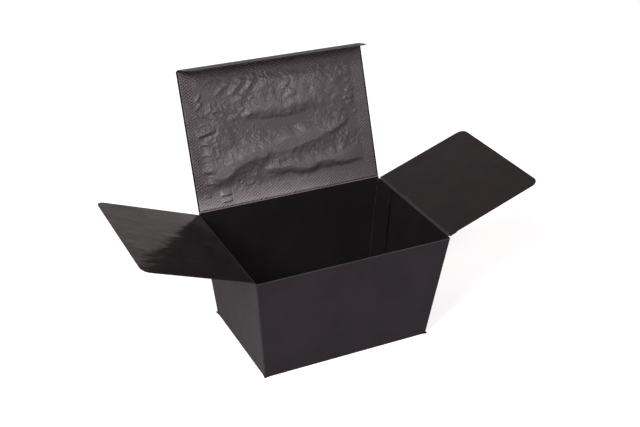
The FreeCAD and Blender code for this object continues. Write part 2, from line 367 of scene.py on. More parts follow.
class Crimp(Effect):
    """Crossed diagonal lines pressed into paper, on a flat map whose unit is a millimetre."""

    name = "crimp"
    takes = {"Flat": ZERO, "Pitch": 1.75}
    gives = ("Height",)
    slant = 0.62

    def inside(self, flat: Socket, pitch: Socket) -> tuple[Socket, ...]:
        """Multiplies two sets of slanted waves into small diamonds.

        Args:
            flat: The place on the flat map.
            pitch: The waves' pitch.

        Returns:
            The height, from 0 to 1.
        """
        wobble = self.add("TexNoise", {"Vector": flat, "Scale": 0.12, "Detail": 1.0}).outputs["Color"]
        moved = self.add("VectorMath", {0: wobble, "Scale": 1.1}, operation="SCALE").outputs["Vector"]
        bent = self.vector("ADD", flat, moved)
        waves = []
        for side in SIDES:
            across = self.vector("DOT_PRODUCT", bent, (-side * self.slant, 1.0, 0.0))
            turns = self.maths("MULTIPLY", self.maths("DIVIDE", across, pitch), math.tau)
            waves.append(self.maths("MULTIPLY_ADD", self.maths("SINE", turns), 0.5, 0.5))
        return (self.maths("POWER", self.maths("MULTIPLY", *waves), 0.7),)


@dataclass(frozen=True)
class Line:
    """A straight fold, cut edge or seam along which a line is painted: its ends in metres, its width in millimetres.
    """

    start: Vector
    end: Vector
    width: float
    strength: float

    @property
    def direction(self) -> Vector:
        """Its unit direction."""
        return (self.end - self.start).normalized()


@dataclass(frozen=True)
class Face:
    """An outer face of the board: a point on it and the direction into the board."""

    point: Vector
    inward: Vector


@dataclass(frozen=True)
class CardFinish:
    """Dark solid board under a satin film, paler along folds and edges as a painted highlight that is partly wear,
    and dark along glued seams as a painted shadow.
    """

    name: str
    inner_colour: Colour = (0.0066, 0.0052, 0.0055)
    outer_colour: Colour = (0.0214, 0.0172, 0.0206)
    cloud: float = 1.25
    # Painted highlight along folds and edges, partly wear.
    worn_and_lit_colour: Colour = (0.072, 0.062, 0.064)
    # Painted shadow along the glued seams.
    seam_shadow_colour: Colour = (0.0012, 0.0010, 0.0011)
    sheen_tint: Colour = (1.0, 0.86, 0.93)
    inner_roughness: float = 0.14
    outer_roughness: float = 0.46
    rubbed_roughness: float = 0.22
    roughness_spread: float = 0.05
    ior: float = 1.185
    waves: float = 1.0
    outer_skin: Point = (0.12, 0.28)

    def toned(self, nodes: Nodes, cloud: Socket, colour: Colour) -> Socket:
        """Returns a colour made softly uneven, paler where the cloud mask is high."""
        return nodes.mix(cloud, colour, tuple(part * self.cloud for part in colour))

    def material(self, lines: tuple[Line, ...] = (), faces: tuple[Face, ...] = (),
                 seams: tuple[Line, ...] = ()) -> Material:
        """Builds the finish.

        Args:
            lines: The folds and edges that get the painted highlight, partly wear.
            faces: The board's outer faces.
            seams: The glued edges, where a painted shadow lies in the gap.

        Returns:
            The material.
        """
        made = bpy.data.materials.new(self.name)
        nodes = Nodes.of(made)
        here = nodes.add("TexCoord").outputs["Object"]
        board = BoardSurface.place(nodes, Position=here, Waves=self.waves)
        colour = self.toned(nodes, board["Cloud"], self.inner_colour)
        rough = nodes.maths("MULTIPLY_ADD", board["Gloss"], self.roughness_spread, self.inner_roughness)
        if faces:
            least = 1.0
            for face in faces:
                least = FaceDepth.place(nodes, Position=here, Point=face.point, Inward=face.inward,
                                        Least=least)["Depth"]
            outside = nodes.ramp(least, self.outer_skin[0] * MM, self.outer_skin[1] * MM, 1.0, 0.0)
            colour = nodes.mix(outside, colour, self.toned(nodes, board["Cloud"], self.outer_colour))
            rough = nodes.maths("MULTIPLY_ADD", outside, self.outer_roughness - self.inner_roughness, rough)
        # Painted highlight, partly wear, along folds and edges, and painted shadow along the seams.
        for marks, marked in ((lines, self.worn_and_lit_colour), (seams, self.seam_shadow_colour)):
            near = 0.0
            for line in marks:
                near = LineMask.place(nodes, Position=here, Start=line.start, Direction=line.direction,
                                      Width=line.width * MM, Strength=line.strength, Most=near)["Mask"]
            if marks:
                colour = nodes.mix(near, colour, marked)
                rough = nodes.maths("MULTIPLY_ADD", near, self.rubbed_roughness, rough)
        nodes.surface(colour, rough, board["Height"], self.ior, self.sheen_tint)
        return made


BOARDS = {
    "carton_body": CardFinish("board_walls", inner_colour=(0.0118, 0.0095, 0.0100), waves=0.7),
    "left_side_flap": CardFinish("board_left_flap", inner_colour=(0.0096, 0.0072, 0.0074),
                                 sheen_tint=(1.0, 0.80, 0.80)),
    "right_side_flap": CardFinish("board_right_flap", inner_colour=(0.0098, 0.0066, 0.0070),
                                  sheen_tint=(1.0, 0.80, 0.82)),
    "lid_panel": CardFinish("board_lid"),
    "tuck_flap": CardFinish("board_tuck"),
}


@dataclass(frozen=True)
class PadFinish:
    """Satin crinkle paper with crimped borders, on a flat map that is as large as the pad.

    The shaded left border, the foot and the parts with painted light by the lid's fold each end in a range of
    millimetres on that map.
    """

    size: Point
    name: str = "pad_paper_crinkled"
    colour: Colour = (0.086, 0.072, 0.076)
    # Painted shade in the pad's low places and on its left border.
    shade_colour: Colour = (0.070, 0.059, 0.062)
    # Pale colour for the painted highlights, which are partly wear, and for the painted light by the lid's fold.
    wear_and_highlight_colour: Colour = (0.250, 0.215, 0.222)
    sheen_tint: Colour = (1.0, 0.87, 0.92)
    roughness: float = 0.28
    roughness_spread: float = 0.16
    ior: float = 1.5
    pitch: float = 1.75
    knurl_height: float = 0.46
    facet_height: float = 0.12
    grain_height: float = 0.16
    pebble_depth: float = 0.14
    shaded_left_border: Point = (3.0, 15.0)
    foot: Point = (7.0, 11.0)
    # Painted light by the lid's fold: a paler foot, a painted highlight along the hem, and how it fades towards the
    # right side.
    lit_foot: Point = (2.0, 14.0)
    hem_line_light: Point = (2.4, 3.6)
    lit_side: Point = (45.0, 118.0)

    def relief(self, nodes: Nodes, flat: Socket, crimped: Socket, rise: Socket, fine: Socket) -> list[Socket]:
        """Presses the crimping into the borders and what stands high, and adds facets, grain and pebbles.

        Args:
            nodes: Builder on the material's tree.
            flat: The place on the flat pad.
            crimped: Where the paper is crimped.
            rise: How high it stands.
            fine: The grain, from 0 to 1.

        Returns:
            The crimping, from 0 to 1, and the whole height in metres.
        """
        patchy = nodes.cloudy(flat, 0.09, 3.0)
        held = nodes.maths("MULTIPLY", crimped, nodes.ramp(patchy, 0.38, 0.62, 0.3, 1.0))
        speckled = nodes.maths("MULTIPLY", nodes.ramp(patchy, 0.5, 0.62, 0.0, 0.4), nodes.ramp(rise, 0.3, 0.8))
        knurl = nodes.maths("MULTIPLY", Crimp.place(nodes, Flat=flat, Pitch=self.pitch)["Height"],
                            nodes.maths("MAXIMUM", held, speckled))
        pebble = nodes.add("TexVoronoi", {"Vector": flat, "Scale": 0.85, "Randomness": 1.0, "Smoothness": 0.5},
                           feature="SMOOTH_F1").outputs["Distance"]
        crease = nodes.add("TexVoronoi", {"Vector": flat, "Scale": 0.34, "Randomness": 1.0, "Detail": 2.0,
                                          "Roughness": 0.6}, feature="DISTANCE_TO_EDGE").outputs["Distance"]
        facet = nodes.maths("MULTIPLY", nodes.ramp(crease, 0.0, 0.3), nodes.maths("SUBTRACT", 1.0, crimped))
        height = nodes.maths("MULTIPLY", pebble, -self.pebble_depth * MM)
        for part, tall in ((fine, self.grain_height), (facet, self.facet_height), (knurl, self.knurl_height)):
            height = nodes.maths("MULTIPLY_ADD", part, tall * MM, height)
        return [knurl, height]

    def material(self) -> Material:
        """Builds the finish: paler on high spots and the crimping as a painted highlight that is partly wear, paler
        by the lid's fold as painted light, and darker in low places and on the left border as painted shade.

        Returns:
            The material, which reads the pad's flat map and its crimped and rise attributes.
        """
        made = bpy.data.materials.new(self.name)
        nodes = Nodes.of(made)
        flat = nodes.stretched(nodes.add("UVMap", uv_map="flat").outputs["UV"], (*self.size, 1.0))
        crimped, rise = (nodes.add("Attribute", attribute_name=name).outputs["Fac"] for name in ("crimped", "rise"))
        fine = nodes.cloudy(flat, 1.6, 4.0, 0.62)
        knurl, height = self.relief(nodes, flat, crimped, rise, fine)
        way = nodes.add("SeparateXYZ", {"Vector": flat}).outputs
        # Painted shade: the left border, except by the foot, and the low places take the shade colour, and the left
        # border gets no paleness.
        unshaded = nodes.maths("MAXIMUM", nodes.ramp(way["X"], *self.shaded_left_border),
                            nodes.ramp(way["Y"], *self.foot, 1.0, 0.0))
        toned = nodes.mix(nodes.maths("MULTIPLY", nodes.ramp(rise, 0.15, 0.9), unshaded), self.shade_colour, self.colour)
        # Painted highlight, partly wear: paler on high spots and on the crimp diamonds.
        crest_wear_and_highlight = nodes.maths("MULTIPLY", nodes.ramp(fine, 0.5, 0.75), nodes.ramp(rise, 0.5, 0.95, 0.1, 0.8))
        # Painted light: paler towards the lid's fold, with a painted highlight along the hem, fading towards the
        # right side.
        painted_light = nodes.maths("MAXIMUM", nodes.ramp(way["Y"], *self.lit_foot, 0.75, 0.0),
                              nodes.ramp(way["Y"], *self.hem_line_light, 0.85, 0.0))
        painted_light = nodes.maths("MULTIPLY", painted_light, nodes.ramp(way["X"], *self.lit_side, 1.0, 0.1))
        pale = nodes.maths("MAXIMUM", crest_wear_and_highlight, nodes.maths("MULTIPLY", knurl, 0.45))
        pale = nodes.maths("MULTIPLY", nodes.maths("MAXIMUM", pale, painted_light), unshaded)
        rough = nodes.maths("MULTIPLY_ADD", fine, self.roughness_spread, self.roughness)
        nodes.surface(nodes.mix(pale, toned, self.wear_and_highlight_colour), rough, height, self.ior, self.sheen_tint)
        return made


@dataclass(frozen=True)
class StudioCamera:
    """A long-lens camera above the front left of the box."""

    lens: float = 61.396
    sensor: float = 36.0
    clip: Point = (0.01, 60.0)
    azimuth: float = -26.997
    elevation: float = 28.508
    roll: float = 1.352
    distance: float = 640.0
    target: Place = (-5.54, -6.80, 82.86)

    def build(self) -> None:
        """Makes the camera and sets it as the scene's own."""
        data = bpy.data.cameras.new("studio_camera")
        data.lens, data.sensor_width = self.lens, self.sensor
        data.clip_start, data.clip_end = self.clip
        camera = placed("studio_camera", data)
        turn, rise, tilt = (math.radians(angle) for angle in (self.azimuth, self.elevation, self.roll))
        back = Vector((math.sin(turn) * math.cos(rise), -math.cos(turn) * math.cos(rise), math.sin(rise)))
        level = Vector((math.cos(turn), math.sin(turn), 0.0))
        upright = back.cross(level)
        right = level * math.cos(tilt) + upright * math.sin(tilt)
        top = upright * math.cos(tilt) - level * math.sin(tilt)
        pose = Matrix((right, top, back)).transposed().to_4x4()
        pose.translation = (Vector(self.target) + back * self.distance) * MM
        camera.matrix_world = pose
        bpy.context.scene.camera = camera


@dataclass(frozen=True)
class Softbox:
    """A square soft lamp that faces the box: where it hangs, the length of its side and its power in watts."""

    name: str
    place: Place
    size: float
    power: float
    aim: Place = (0.0, 0.0, 80.0)

    def build(self) -> None:
        """Makes the lamp."""
        data = bpy.data.lights.new(self.name, "AREA")
        data.size, data.energy = self.size * MM, self.power
        lamp = placed(self.name, data)
        lamp.location = Vector(self.place) * MM
        lamp.rotation_euler = (Vector(self.aim) * MM - lamp.location).to_track_quat("-Z", "Y").to_euler()


@dataclass(frozen=True)
class Studio:
    """A pale floor, a plain pale world that is brightest low at the back, and three soft lamps."""

    lamps: tuple[Softbox, ...] = (Softbox("key_softbox", (-1014.0, -540.0, 1045.0), 600.0, 20.5),
                                  Softbox("back_softbox", (-900.0, 1200.0, 600.0), 500.0, 2.2),
                                  Softbox("front_softbox", (-165.0, -1170.0, 1004.0), 420.0, 8.5))
    floor_radius: float = 6000.0
    floor_colour: Colour = (0.74, 0.70, 0.70)
    floor_glow: float = 0.66
    mirrored_share: float = 0.05
    front_level: float = 0.15
    back_level: float = 0.6
    low_tint: Colour = (1.0, 0.93, 0.92)
    overhead_level: float = 0.15

    def build(self) -> None:
        """Makes the stage and the light."""
        self.build_floor()
        self.build_world()
        for lamp in self.lamps:
            lamp.build()
        bpy.context.scene.view_settings.view_transform = "Standard"

    def build_floor(self) -> None:
        """Makes the floor, which stays white to the camera and keeps a faint shadow."""
        shape = bmesh.new()
        bmesh.ops.create_circle(shape, cap_ends=True, segments=96, radius=self.floor_radius * MM)
        floor = placed("floor", as_mesh("floor", shape))
        made = bpy.data.materials.new("pale_floor")
        nodes = Nodes.of(made)
        path = nodes.add("LightPath").outputs
        seen = nodes.maths("MAXIMUM", path["Is Camera Ray"], path["Is Transmission Ray"])
        mirrored = nodes.maths("MULTIPLY", path["Is Glossy Ray"], self.mirrored_share)
        far = nodes.vector("LENGTH", nodes.add("TexCoord").outputs["Object"])
        glow = nodes.maths("MULTIPLY", nodes.maths("MAXIMUM", seen, mirrored),
                           nodes.ramp(far, 0.5, 1.8, self.floor_glow, 1.0))
        shader = nodes.add("BsdfPrincipled", {"Base Color": self.floor_colour, "Roughness": 0.9,
                                              "Specular IOR Level": 0.0, "Emission Color": WHITE,
                                              "Emission Strength": glow})
        nodes.add("OutputMaterial", {"Surface": shader.outputs["BSDF"]})
        floor.data.materials.append(made)

    def build_world(self) -> None:
        """Makes the world, which is white to the camera."""
        world = bpy.data.worlds.new("pale_world")
        bpy.context.scene.world = world
        nodes = Nodes.of(world)
        way = nodes.add("SeparateXYZ", {"Vector": nodes.add("TexCoord").outputs["Generated"]}).outputs
        low = nodes.ramp(way["Y"], -0.5, 0.8, self.front_level, self.back_level)
        level = nodes.between(nodes.ramp(way["Z"], 0.3, 1.0), low, self.overhead_level)
        path = nodes.add("LightPath").outputs
        camera = nodes.maths("MAXIMUM", path["Is Camera Ray"], path["Is Transmission Ray"])
        behind = nodes.maths("MULTIPLY", path["Is Glossy Ray"], nodes.ramp(way["Y"], -0.4, 0.3))
        strength = nodes.between(nodes.maths("MAXIMUM", camera, behind), level, 1.0)
        tint = nodes.mix(nodes.ramp(way["Z"], 0.1, 0.8), self.low_tint, WHITE)
        light = nodes.add("Background", {"Color": nodes.mix(camera, tint, WHITE), "Strength": strength})
        nodes.add("OutputWorld", {"Surface": light.outputs["Background"]})


@dataclass(frozen=True)
class Fold:
    """A working crease between two bodies, and the strip of bent board in it.

    The line through its middle lies on the board's outer face. The node is the second panel, whose free edge runs
    through the tip. Each inner direction points out of a panel's inner face, and each along direction runs in a
    panel away from the line, all at rest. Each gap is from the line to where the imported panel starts.
    """

    node: str
    bodies: tuple[Body, Body]
    middle: Vector
    tip: Vector
    axis: Vector
    inner: tuple[Vector, Vector]
    along: tuple[Vector, Vector]
    gaps: Point
    half_length: float
    board: float
    skin: float = 0.02
    embed: float = 0.12
    steps: int = 8

    @property
    def name(self) -> str:
        """The strip's name."""
        return self.bodies[1].value + "_crease_strip"

    @property
    def faces(self) -> tuple[Face]:
        """The second panel's outer face."""
        return (Face(self.middle, self.inner[1]),)

    @property
    def reach(self) -> float:
        """How far the strip's inner side is from the line, in metres."""
        return (self.board - self.skin) * MM

    def lines(self, fold: Point, free: Point, cut: Point | None = None) -> tuple[Line, ...]:
        """Lists the second panel's fold, its free edge and its two cut edges.

        Args:
            fold: The width and strength of the painted highlight, partly wear, on the fold.
            free: That on the free edge.
            cut: That on the cut edges, where they show it.

        Returns:
            The lines that show wear.
        """
        ends = [self.axis * corner.dot(self.axis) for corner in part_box(self.node)]
        root, tip = ([point + end for end in ends] for point in (self.middle, self.tip))
        cuts = [Line(*edge, *cut) for edge in zip(root, tip)] if cut else []
        return Line(*root, *fold), Line(*tip, *free), *cuts

    def bend(self) -> list[Vector]:
        """Works out the bend's inner side from the first panel to the second.

        Returns:
            An arc where the inner faces turn away from each other, or one mitred point where they face.
        """
        first, second = self.inner
        angle = first.angle(second)
        if second.dot(self.along[0]) > 0:
            return [(first + second).normalized() * self.reach / math.cos(angle / 2)]
        axis = first.cross(second).normalized()
        return [Matrix.Rotation(angle * i / self.steps, 3, axis) @ first * self.reach for i in range(self.steps + 1)]

    def outline(self) -> list[Vector]:
        """Works out the strip's section round the fold line.

        Returns:
            Its corners in order.
        """
        start, end = (along * (gap + self.embed) * MM for along, gap in zip(self.along, self.gaps))
        first, second = self.inner
        low, high = self.skin * MM, self.reach
        return [(first + second).normalized() * low, start + first * low, start + first * high, *self.bend(),
                end + second * high, end + second * low]

    def build(self, finish: Material) -> Object:
        """Makes the strip and blends it over the fold.

        Args:
            finish: The board's material.

        Returns:
            The strip.
        """
        start = self.middle - self.axis * self.half_length * MM
        shape = bmesh.new()
        face = shape.faces.new([shape.verts.new(start + point) for point in self.outline()])
        pulled = bmesh.ops.extrude_face_region(shape, geom=[face])["geom"]
        bmesh.ops.translate(shape, vec=self.axis * self.half_length * 2 * MM,
                            verts=[part for part in pulled if isinstance(part, bmesh.types.BMVert)])
        bmesh.ops.recalc_face_normals(shape, faces=shape.faces)
        strip = placed(self.name, as_mesh(self.name, shape))
        strip.data.materials.append(finish)
        start, end = (self.middle + inner * self.reach for inner in self.inner)
        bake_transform(strip, self.bodies[0].value, self.bodies[1].value, start=start, end=end)
        return strip


END_FADE = 0.6
CREST_POWER = 1.4
GROOVE_PLACE = 1.9


@dataclass(frozen=True)
class Chance:
    """Smooth chance over the lid's plane: how fast it changes across and up, and its own layer of the noise."""

    across: float
    up: float
    layer: float

    def spot(self, x: float, y: float) -> Vector:
        """Returns the place in the noise for a point on the lid's plane."""
        return Vector((x * self.across, y * self.up, self.layer))

    def at(self, points: Array) -> Array:
        """Returns a value round 0 at each point."""
        return np.array([noise.noise(self.spot(x, y)) for x, y in points])


@dataclass(frozen=True)
class Crinkle:
    """A crest pressed into the pad, along points on the lid's plane: across from its middle, up from its fold.

    The upper and lower widths say how fast it falls away on each side, and the groove runs below it.
    """

    path: tuple[Point, ...]
    height: float
    upper: float
    lower: float
    groove: float = 0.0

    def at(self, points: Array) -> Array:
        """Works out the crest's height.

        Args:
            points: Points on the lid's plane.

        Returns:
            Its height at each point.
        """
        path = np.array(self.path, float)
        runs = np.hypot(*np.diff(path, axis=0).T)
        far = np.full(len(points), np.inf)
        side, along = np.zeros(len(points)), np.zeros(len(points))
        for start, end, run, before in zip(path, path[1:], runs, np.cumsum(runs) - runs):
            step = (end - start) / run
            share = np.clip((points - start) @ step, 0, run)
            offset = points - start - share[:, None] * step
            distance = np.hypot(*offset.T)
            nearer = distance < far
            far = np.where(nearer, distance, far)
            side = np.where(nearer, np.sign(step[0] * offset[:, 1] - step[1] * offset[:, 0]), side)
            along = np.where(nearer, (before + share) / runs.sum(), along)
        fade = np.sin(np.pi * np.clip(along, 0, 1)) ** END_FADE
        width = np.where(side > 0, self.upper, self.lower)
        ridge = self.height * np.exp(-(far / width) ** CREST_POWER)
        ditch = self.groove * np.exp(-(((far - GROOVE_PLACE * self.lower) / self.lower) ** 2)) * (side < 0)
        return fade * (ridge - ditch)


@dataclass(frozen=True)
class Swell:
    """A broad soft rise or dent in the pad."""

    middle: Point
    radius: Point
    height: float
    turn: float = 0.0

    def at(self, points: Array) -> Array:
        """Works out the rise's height.

        Args:
            points: Points on the lid's plane.

        Returns:
            Its height at each point.
        """
        turn = math.radians(self.turn)
        away = points - np.array(self.middle, float)
        x = away[:, 0] * math.cos(turn) + away[:, 1] * math.sin(turn)
        y = away[:, 1] * math.cos(turn) - away[:, 0] * math.sin(turn)
        return self.height * np.exp(-((x / self.radius[0]) ** 2) - (y / self.radius[1]) ** 2)


MAIN_CREASES = (
    Crinkle(((-54, 15.6), (-46, 19), (-37.5, 22.2), (-29, 25.4), (-21, 27.8), (-12, 28.6)), 2.5, 6.0, 3.8, 0.35),
    Crinkle(((-20, 27.6), (-12, 28.8), (-4, 29.8), (5, 31), (14, 32.2), (22, 33.8), (29, 36)), 1.7, 6.5, 3.4, 0.25),
    Crinkle(((-48, 18), (-40, 21.8), (-32, 25.6), (-20, 30), (-8, 32.8), (6, 34.2), (20, 34.8), (32, 35.2),
             (46, 36.4)), 1.45, 4.6, 3.2),
    Crinkle(((-15, 18.6), (-9, 18.8), (0, 18.4), (7.5, 16.8), (14, 15.6), (20, 15.4)), 2.2, 3.6, 4.0, 0.3),
    Crinkle(((4, 14.6), (10, 15.4), (16.5, 17), (24, 17.8), (31, 16.8), (40, 16.2), (50, 17.2), (60, 16.2),
             (78, 15)), 2.8, 4.2, 4.4, 0.4),
    Crinkle(((-26, 53.6), (-16, 56), (-7, 56.2), (2, 54.6), (10, 54)), 1.7, 5.4, 5.4, 0.15),
    Crinkle(((3, 54.6), (10, 56), (17, 57.4), (24, 58.6), (31, 57.6)), 1.4, 5.0, 4.8, 0.15),
    Crinkle(((-41, 68.4), (-37, 70.6), (-31, 75)), 0.7, 1.8, 1.4, 0.15),
    Crinkle(((-31, 66.9), (-26.5, 71), (-20.5, 77.4)), 1.0, 2.4, 2.0, 0.2),
    Crinkle(((-23.5, 67.4), (-17.5, 72.4), (-12.8, 77.8)), 0.95, 2.3, 1.9, 0.2),
    Crinkle(((2.5, 65.9), (6, 68.6), (10, 71.8)), 0.7, 2.2, 1.3, 0.25),
    Crinkle(((4, 61), (8, 61.6), (12, 62.8)), 0.55, 1.9, 1.5, 0.1),
    Crinkle(((10, 39), (14, 39.4), (20, 38.4)), 0.6, 1.6, 1.1, 0.2),
    Crinkle(((29, 35.4), (35, 36.4), (41, 38.8), (46, 41)), 0.7, 2.4, 1.6, 0.2),
    Crinkle(((35, 20.6), (38.4, 22.4), (42, 25)), 0.6, 1.4, 1.1, 0.1),
    Crinkle(((-34, 52.4), (-29.5, 53.6), (-26.5, 56)), 0.5, 1.5, 1.1, 0.15),
    Crinkle(((-45, 58), (-40, 59.4), (-36, 61.2)), 0.45, 1.6, 1.1, 0.15),
    Crinkle(((-46, 33), (-40, 31.4), (-34, 31.6)), 0.4, 2.0, 1.6, 0.1),
    Crinkle(((-29, 11.4), (-25.5, 12.2), (-22.5, 13.4)), 0.5, 1.3, 1.0, 0.1),
    Crinkle(((-10, 10.4), (-6.5, 11.6), (-3, 12.6)), 0.45, 1.2, 1.0, 0.1),
    Crinkle(((-8, 23), (0, 24.4), (8, 23.6)), 0.6, 2.2, 1.6, 0.15),
)

BORDER_PUCKERS = (
    Crinkle(((-56, 45.4), (-51, 46.6), (-47, 47.6), (-43.5, 47.8)), 1.3, 1.8, 1.1, 0.35),
    Crinkle(((-55, 57.6), (-52, 57.4), (-48.5, 57)), 0.5, 0.9, 0.7, 0.1),
    Crinkle(((-54.5, 40.4), (-52, 40.4), (-48.5, 40)), 0.5, 1.0, 0.7, 0.1),
    Crinkle(((-55, 33.6), (-51.5, 33.6), (-47, 33)), 0.35, 0.9, 0.7),
    Crinkle(((-56, 24), (-52.5, 23.6), (-47.5, 23.2)), 0.9, 1.2, 0.9, 0.2),
    Crinkle(((-56, 16.6), (-53.5, 16.4), (-50, 15.8)), 0.45, 0.9, 0.7, 0.15),
    Crinkle(((-54.8, 61.4), (-52.6, 62.8), (-48.2, 67)), 0.6, 1.0, 0.8, 0.15),
    Crinkle(((-54, 66), (-51.6, 68.2), (-49, 71)), 0.6, 1.0, 0.8, 0.15),
    Crinkle(((-49.5, 72.8), (-47.5, 74.4), (-46, 76.4)), 0.35, 0.9, 0.7),
    Crinkle(((-47, 8.3), (-43.5, 8.2), (-39.5, 8.4)), 1.2, 1.2, 0.9, 0.2),
    Crinkle(((-47, 4.2), (-43, 4.1), (-39.5, 4.3)), 1.1, 1.1, 0.9, 0.15),
    Crinkle(((-57.4, 8.9), (-55, 8.8), (-52.6, 8.9)), 0.9, 0.8, 0.7, 0.1),
    Crinkle(((49, 17.2), (55, 16.7), (61, 16.4), (72, 16)), 0.7, 2.0, 0.7, 0.25),
    Crinkle(((44, 54), (48, 54.2), (52.5, 55)), 0.8, 1.6, 1.0, 0.25),
    Crinkle(((46, 58.6), (49, 58.8), (53, 60)), 0.5, 1.0, 0.8, 0.1),
    Crinkle(((46, 64), (49, 64.6), (52, 66)), 0.5, 1.2, 0.8, 0.1),
    Crinkle(((44, 68.4), (48, 69.2), (52, 69)), 0.4, 1.4, 1.1, 0.1),
    Crinkle(((45, 50.2), (48, 50.8), (51.5, 51.2)), 0.4, 0.9, 0.7),
    Crinkle(((49, 43.8), (52, 44.4), (54, 45.6)), 0.4, 0.9, 0.7),
)

SWELLS = (
    Swell((8, 31.5), (26, 6.5), 0.6, 8), Swell((-33, 30), (15, 4.5), 0.3, 22), Swell((-42, 40), (12, 8), 0.25),
    Swell((21, 60), (24, 9), 0.6, -8), Swell((14, 70), (25, 6), 0.7, -3), Swell((-38, 68), (13, 9), -0.3),
    Swell((-50, 29), (8, 6), 0.4), Swell((-8, 72), (8, 5), 0.25, 40), Swell((-25, 65), (3.2, 2.2), 0.5),
    Swell((8.5, 63.6), (3, 2), 0.45), Swell((14, 41.4), (3.4, 2.2), 0.4), Swell((-6, 46.4), (22, 4.4), -0.85, -4),
    Swell((14, 47.6), (12, 3.6), -0.5, 12), Swell((4, 11.6), (22, 2.6), -0.45, -4),
    Swell((38, 11.6), (22, 2.6), -0.5, 2), Swell((-41, 57.4), (2, 1.5), -0.3), Swell((36, 57), (2, 1.6), -0.3),
    Swell((48, 66), (5, 4), -0.25), Swell((42, 36), (6, 2.6), -0.3, 24),
)


@dataclass(frozen=True)
class PaperCloth:
    """How the pad's paper gives, for a cloth that is made larger than life so that its springs stay steady."""

    enlarged: float = 10.0
    frames: int = 20
    quality: int = 5
    mass: float = 0.3
    air_damping: float = 1.0
    spare: float = 0.003
    stretch: float = 15.0
    shear: float = 5.0
    bend: float = 0.4
    most_move: float = 1.8

    def settle(self, sheet: Object, held: list[int]) -> Array:
        """Lets a flat-lying sheet with a little spare length buckle, and reads where its points end up.

        Args:
            sheet: The sheet, in millimetres of the pad times the enlargement.
            held: The points that are glued down.

        Returns:
            One row per point.
        """
        group = sheet.vertex_groups.new(name="glued")
        group.add(held, 1.0, "REPLACE")
        cloth = sheet.modifiers.new("paper", "CLOTH")
        paper = cloth.settings
        paper.quality, paper.mass, paper.air_damping = self.quality, self.mass, self.air_damping
        paper.tension_stiffness = paper.compression_stiffness = self.stretch
        paper.shear_stiffness, paper.bending_stiffness = self.shear, self.bend
        paper.shrink_min = paper.shrink_max = -self.spare
        paper.vertex_group_mass = group.name
        paper.effector_weights.gravity = 0.0
        cloth.collision_settings.use_collision = False
        scene, last = bpy.context.scene, self.frames + 1
        cloth.point_cache.frame_start, cloth.point_cache.frame_end = 1, last
        scene.frame_start, scene.frame_end = 1, last
        for frame in range(1, last):
            scene.frame_set(frame)
        settled = sheet.evaluated_get(bpy.context.evaluated_depsgraph_get()).to_mesh()
        places = np.array([vert.co[:] for vert in settled.vertices])
        scene.frame_set(1)
        return places


@dataclass(frozen=True)
class FlapRoom:
    """The room between the closed lid and a flap below it: least by the flap's root, and growing away from it."""

    root: float
    least: float
    growth: float

    def at(self, reach: Array) -> Array:
        """Returns the room at distances from the lid's middle towards the root."""
        return self.least + self.growth * (self.root - reach)


@dataclass(frozen=True)
class Facets:
    """The small facets, bumps and sharp little folds that crinkle paper breaks into, stronger in patches.

    Every scale says how fast the noise changes in a millimetre, and every share how high that part stands.
    """

    layer: float = 2.0
    bend: float = 1.8
    bend_scale: float = 0.22
    facet_scale: float = 0.33
    facet_share: float = 0.6
    fold_scale: float = 0.3
    fold_share: float = 0.45
    sharpness: float = 4.0
    bump_scale: float = 0.75
    bump_share: float = 0.35
    long_scale: Point = (0.09, 0.15)
    long_start: float = 7.0
    long_bend: float = 0.1
    long_share: float = 0.25
    most: float = 0.5
    level: float = 0.3
    patch_scale: float = 0.08
    patch_middle: float = 0.45
    patch_contrast: float = 2.2
    patch_least: float = 0.3
    patch_more: float = 0.9

    def fold(self, spot: Vector) -> float:
        """Returns 1 on the lines where the noise passes 0, and less beside them."""
        return 1 - min(1.0, self.sharpness * abs(noise.noise(spot)))

    def at(self, x: float, y: float) -> float:
        """Works out the facets' height.

        Args:
            x: Across the lid from its middle.
            y: Up from the lid's fold.

        Returns:
            A height round 0.
        """
        spot = Vector((x, y, self.layer))
        bent = spot + noise.noise_vector(spot * self.bend_scale) * self.bend
        near, next_near = noise.voronoi(bent * self.facet_scale)[0][:2]
        facet = min(next_near - near, self.most)
        bump = self.most - noise.voronoi(bent * self.bump_scale)[0][0]
        long_spot = Vector((x * self.long_scale[0] + self.long_start, y * self.long_scale[1], 0.0))
        patchy = self.patch_middle + self.patch_contrast * noise.noise(spot * self.patch_scale)
        patch = self.patch_least + self.patch_more * min(1.0, max(0.0, patchy))
        return patch * (self.facet_share * facet + self.fold_share * self.fold(bent * self.fold_scale)
                        + self.bump_share * bump - self.level
                        + self.long_share * self.fold(long_spot + self.long_bend * bent))


